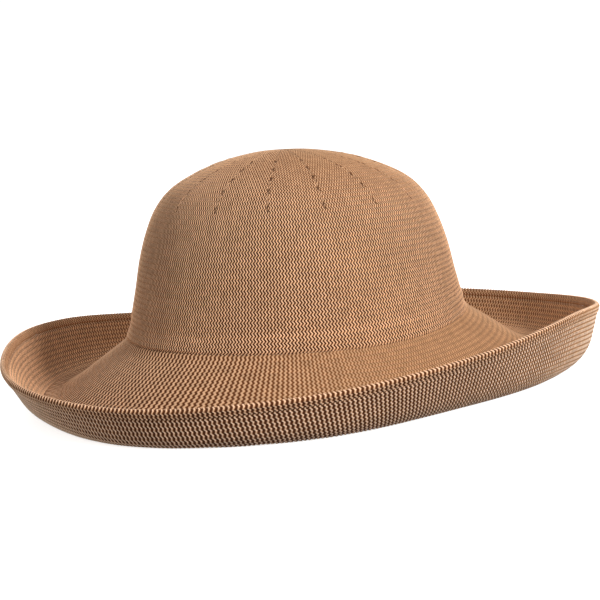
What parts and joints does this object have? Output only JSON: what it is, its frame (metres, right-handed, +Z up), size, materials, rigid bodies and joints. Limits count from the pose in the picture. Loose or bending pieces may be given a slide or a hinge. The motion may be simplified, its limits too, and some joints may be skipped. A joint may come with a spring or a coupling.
{
  "type": "sun hat",
  "caption": "Knitted sun hat with a round dome crown and a wide brim that slopes down and turns up to a folded hem.",
  "frame": {"origin": "on the surface that the hat lies on, under the middle of the whole hat", "axes": "+Z up through the crown, -Y towards the viewer of the picture, +X to the viewer's right"},
  "size_m": [0.336, 0.3468, 0.1282],
  "materials": {
    "crown_knit": "matt camel zigzag knit",
    "brim_knit": "matt camel zigzag knit",
    "hem_knit": "matt camel knit, folded double"
  },
  "bodies": {
    "root": {"crown": "crown_knit", "brim": "brim_knit", "brim_hem": "hem_knit"}
  },
  "joints": []
}
